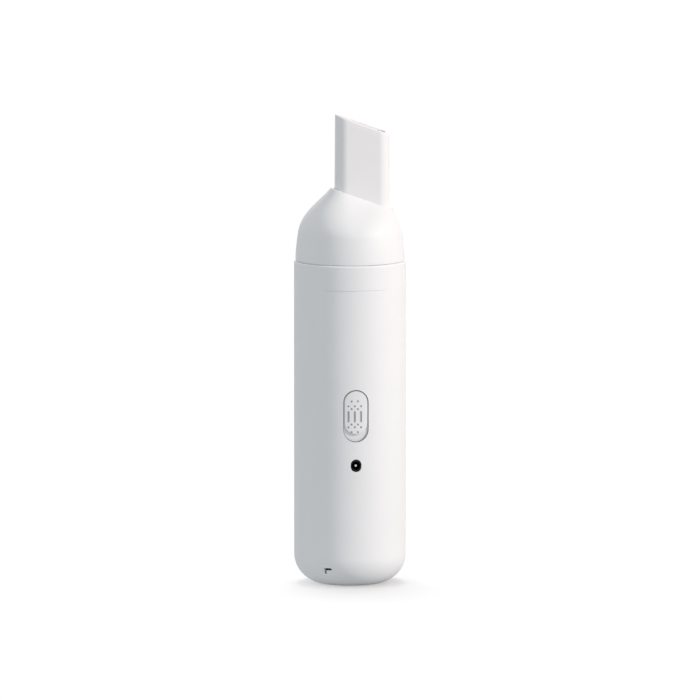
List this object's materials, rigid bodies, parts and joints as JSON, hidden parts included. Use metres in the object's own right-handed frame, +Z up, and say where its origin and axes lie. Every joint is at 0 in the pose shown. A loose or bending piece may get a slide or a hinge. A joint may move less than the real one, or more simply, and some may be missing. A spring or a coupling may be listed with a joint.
{
  "type": "desktop mini vacuum cleaner",
  "caption": "Slim upright mini vacuum cleaner with a round body, a slide switch, a charging socket, a lift-off dust cup with a slanted rim and a flat nozzle.",
  "frame": {"origin": "centre of the flat base, where the body's axis meets the surface it stands on", "axes": "+Z up along the body; -Y is the front, with switch and charging socket; the nozzle stands off centre towards +X"},
  "size_m": [0.05, 0.05, 0.2104],
  "materials": {
    "white_shell": "satin white",
    "white_nozzle": "satin white",
    "white_slider": "satin white",
    "inner_grey": "fine grain",
    "fan_plastic": "smooth",
    "black_plastic": "fine grain",
    "soft_rubber": "matt",
    "foam": "open cell",
    "steel": "plated",
    "screw_steel": "plated",
    "nickel": "bright",
    "brass": "turned",
    "copper": "drawn",
    "magnet": "sintered",
    "carbon": "pressed",
    "core_steel": "stacked plates",
    "cell_wrap": "shrink film",
    "board_green": "solder mask",
    "chip_black": "moulded",
    "wire_red": "smooth",
    "filter_paper": "pleated",
    "mesh_steel": "woven"
  },
  "bodies": {
    "housing": {"sleeve": "white_shell", "foot_pad": "soft_rubber", "base_screws": "screw_steel", "exhaust_foam": "foam", "battery_cradle": "inner_grey", "cradle_screws": "screw_steel", "battery_pad": "foam", "battery_cell": "cell_wrap", "battery_tabs": "nickel", "battery_leads": "wire_red", "control_board": "board_green", "board_screws": "screw_steel", "board_parts": "chip_black", "switch_housing": "black_plastic", "jack_body": "black_plastic", "jack_pin": "nickel", "motor_frame": "inner_grey", "motor_deck": "inner_grey", "motor_screws": "screw_steel", "motor_can": "steel", "motor_damper": "soft_rubber", "motor_magnets": "magnet", "front_bush": "brass", "rear_bush": "brass", "end_cap": "black_plastic", "motor_terminals": "nickel", "motor_brushes": "carbon", "motor_leads": "wire_red", "fan_shroud": "inner_grey", "tower_screws": "screw_steel", "filter_seal": "soft_rubber"},
    "slider": {"power_slider": "white_slider", "slider_retainer": "inner_grey", "switch_lever": "black_plastic"},
    "rotor": {"rotor_shaft": "steel", "rotor_core": "core_steel", "rotor_windings": "copper", "commutator": "copper", "impeller_hub": "brass", "impeller": "fan_plastic"},
    "filter": {"filter_frame": "inner_grey", "filter_pleats": "filter_paper", "filter_mesh": "mesh_steel"},
    "cup": {"dust_cup": "white_shell", "cup_seal": "soft_rubber"},
    "nozzle": {"nozzle": "white_nozzle"}
  },
  "joints": [
    {"name": "power_slide", "type": "slide", "parent": "housing", "child": "slider", "axis": [0, 0, 1], "range_m": [-0.003, 0]},
    {"name": "fan_spin", "type": "hinge", "parent": "housing", "child": "rotor", "pos_m": [0, 0, 0.105], "axis": [0, 0, 1], "continuous": true},
    {"name": "filter_lift", "type": "slide", "parent": "housing", "child": "filter", "axis": [0, 0, 1], "range_m": [0, 0.025]},
    {"name": "cup_lift", "type": "slide", "parent": "filter", "child": "cup", "axis": [0, 0, 1], "range_m": [0, 0.04]},
    {"name": "nozzle_pull", "type": "slide", "parent": "cup", "child": "nozzle", "axis": [0, 0, 1], "range_m": [0, 0.03]}
  ]
}
